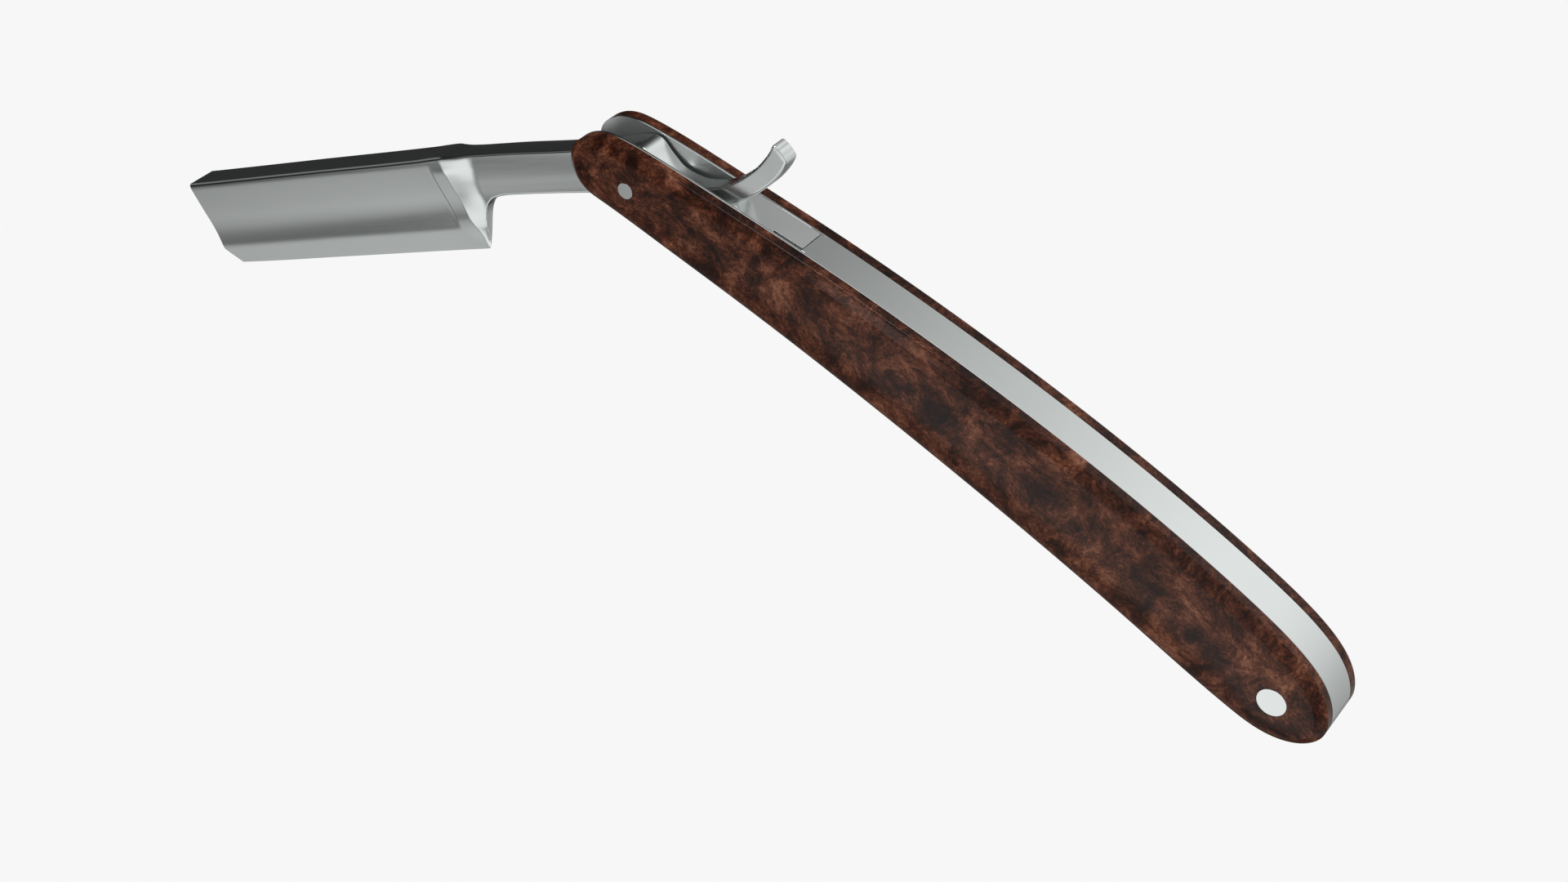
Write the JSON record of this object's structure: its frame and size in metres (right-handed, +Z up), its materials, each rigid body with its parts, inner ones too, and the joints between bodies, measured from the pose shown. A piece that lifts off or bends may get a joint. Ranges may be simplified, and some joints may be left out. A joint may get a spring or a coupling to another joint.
{
  "type": "straight razor",
  "caption": "Folding straight razor: square-point hollow-ground steel blade on a pivot between burl scales with steel liners and a back bar.",
  "frame": {"origin": "the blade's pivot axis, where it meets the plane the razor lies on", "axes": "+X from the pivot along the handle to its butt, +Y towards the handle's back, +Z up through the handle's thickness, along the pivot"},
  "size_m": [0.2395, 0.1161, 0.014],
  "materials": {
    "scale_burl": "dark reddish-brown burl under a clear gloss finish",
    "handle_steel": "fine satin, close to polished",
    "pin_steel": "ends ground flush with the scales",
    "blade_steel": "fine satin, close to polished",
    "washer_brass": "plain turned"
  },
  "bodies": {
    "handle": {"far_scale": "scale_burl", "far_liner": "handle_steel", "near_liner": "handle_steel", "near_scale": "scale_burl", "back_bar": "handle_steel", "stop_plate": "handle_steel", "pivot_pin": "pin_steel", "butt_pin": "pin_steel", "bar_dowel_front": "pin_steel", "bar_dowel_middle": "pin_steel", "bar_dowel_rear": "pin_steel", "stop_dowel": "pin_steel", "far_washer": "washer_brass", "near_washer": "washer_brass"},
    "blade": {"blade": "blade_steel"}
  },
  "joints": [
    {"name": "blade_pivot", "type": "hinge", "parent": "handle", "child": "blade", "pos_m": [0, 0, 0.00698], "axis": [0, 0, 1], "range_deg": [0, 131.5]}
  ]
}
